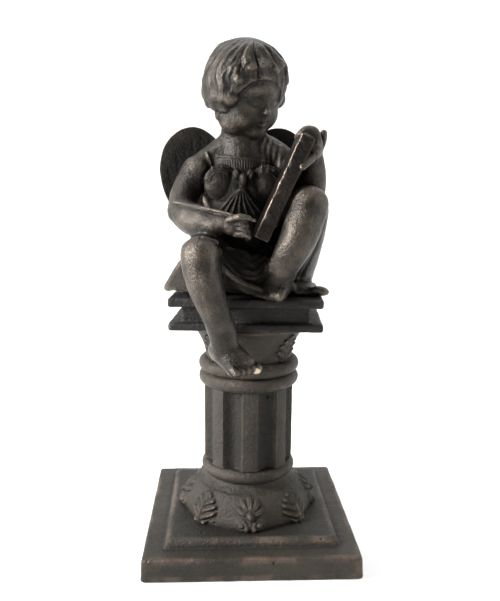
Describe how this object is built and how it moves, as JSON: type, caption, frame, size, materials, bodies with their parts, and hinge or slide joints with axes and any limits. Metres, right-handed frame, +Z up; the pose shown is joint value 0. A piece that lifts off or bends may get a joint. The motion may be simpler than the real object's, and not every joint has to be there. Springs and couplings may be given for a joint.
{
  "type": "angel statue",
  "caption": "Cast-metal statuette of a seated child angel with a drawing board, sitting on a closed book on a short fluted column with a stepped square base.",
  "frame": {"origin": "middle of the underside of the square base", "axes": "+Z up through the column, -Y towards the front that the figure faces, +X towards the figure's left"},
  "size_m": [0.1252, 0.1252, 0.3009],
  "materials": {
    "iron": "grey-brown cast iron, matte, rusty on the worn edges",
    "dark_iron": "near-black matte cast iron",
    "bronze": "dark bronze-brown cast metal with soft highlights"
  },
  "bodies": {
    "root": {"base": "iron", "column": "iron", "book": "dark_iron", "angel": "bronze"}
  },
  "joints": []
}
